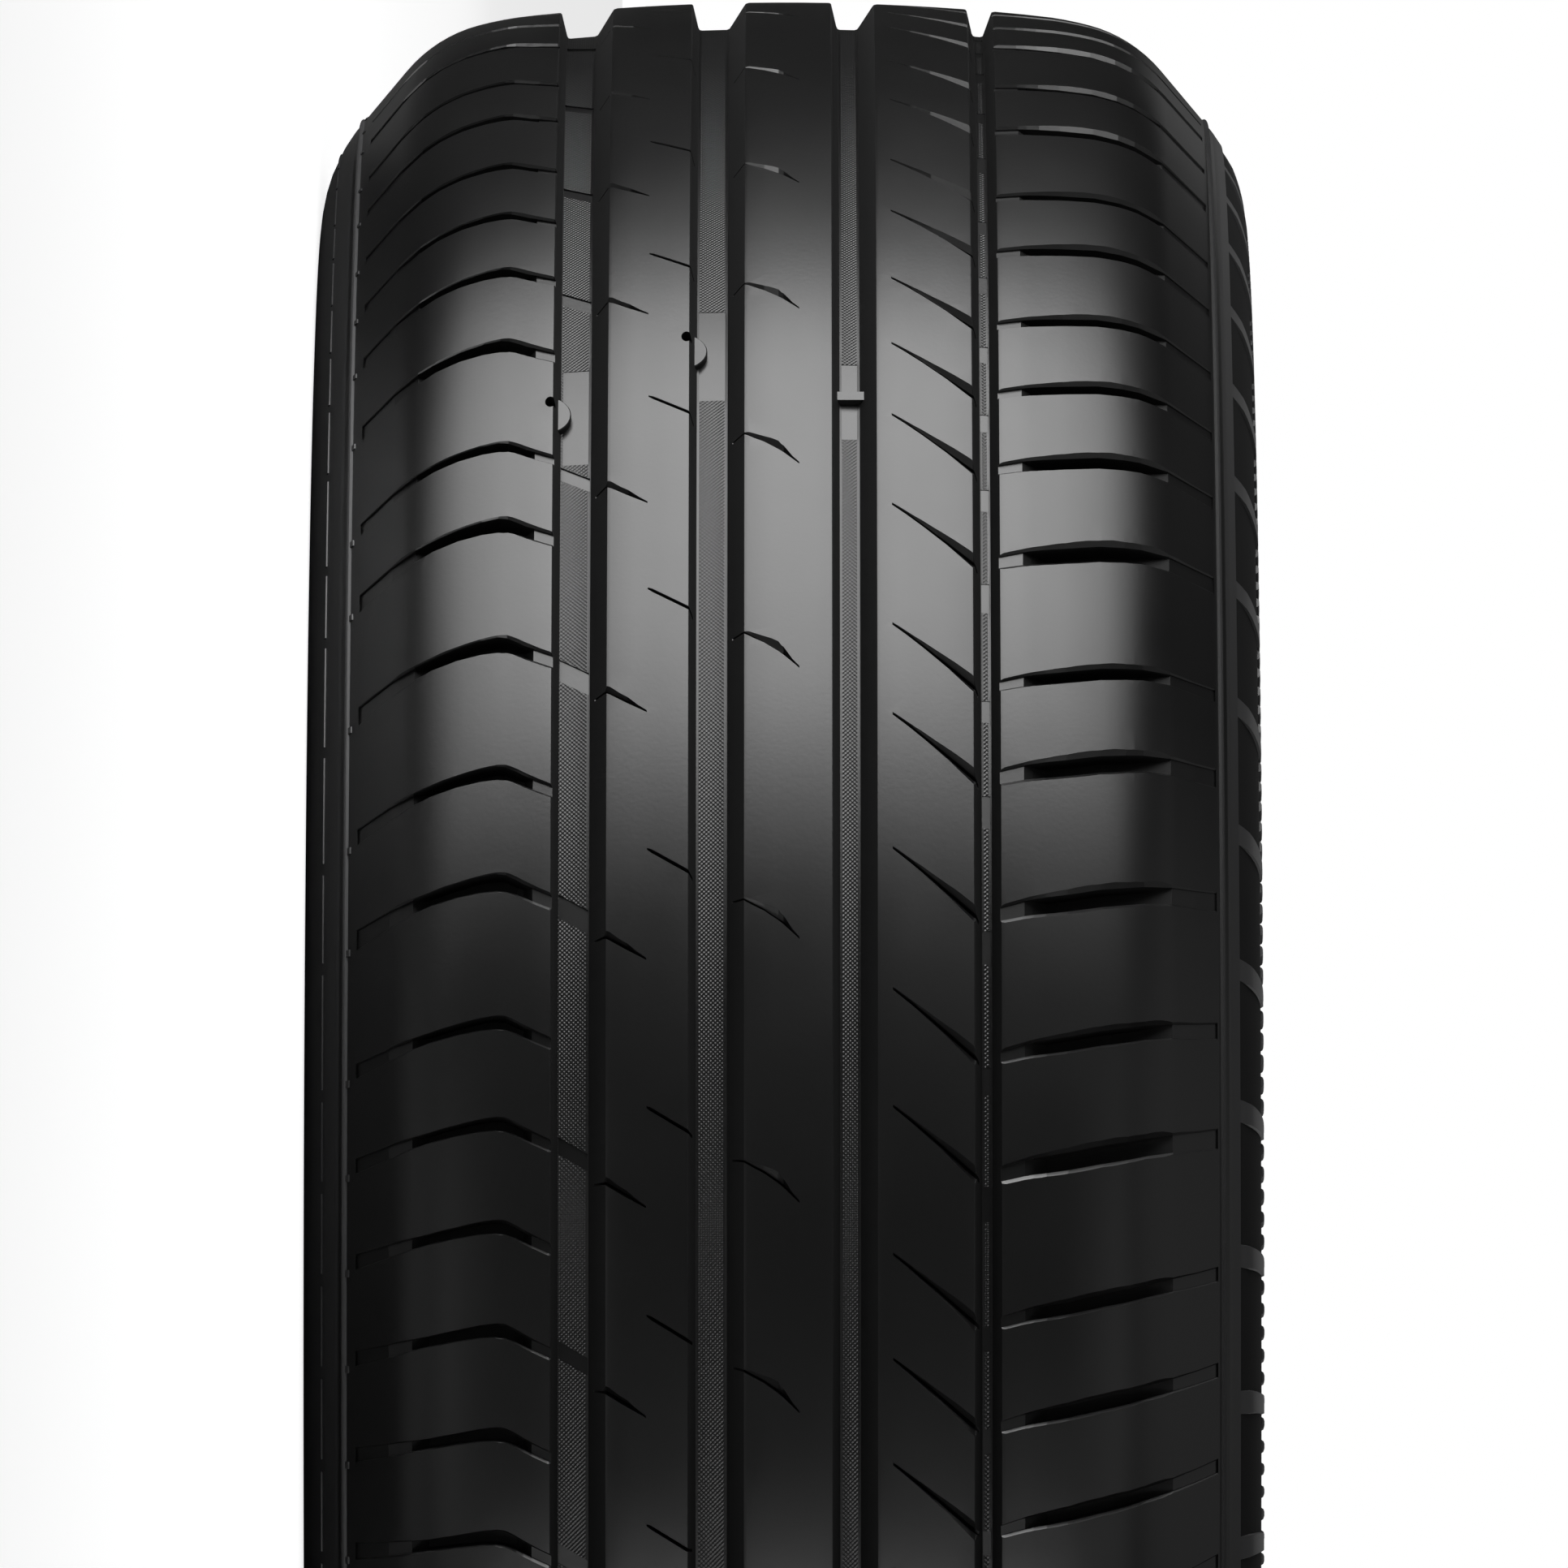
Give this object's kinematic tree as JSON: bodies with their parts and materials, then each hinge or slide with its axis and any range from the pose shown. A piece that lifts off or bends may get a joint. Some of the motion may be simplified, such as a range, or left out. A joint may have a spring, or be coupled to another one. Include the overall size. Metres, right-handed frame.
{
  "type": "car tyre",
  "caption": "Low-profile radial car tyre with an asymmetric grooved tread, open air cavity and two beads that seat on a wheel rim.",
  "frame": {"origin": "centre of the wheel, half way between the two sidewalls on the wheel's axis", "axes": "+Z along the wheel's axis, out of the sidewall that faces up as the tyre lies; X and Y in the plane of the wheel"},
  "size_m": [0.6596, 0.6596, 0.225],
  "materials": {
    "tread_rubber": "satin black moulded rubber"
  },
  "bodies": {
    "root": {"tyre": "tread_rubber"}
  },
  "joints": []
}
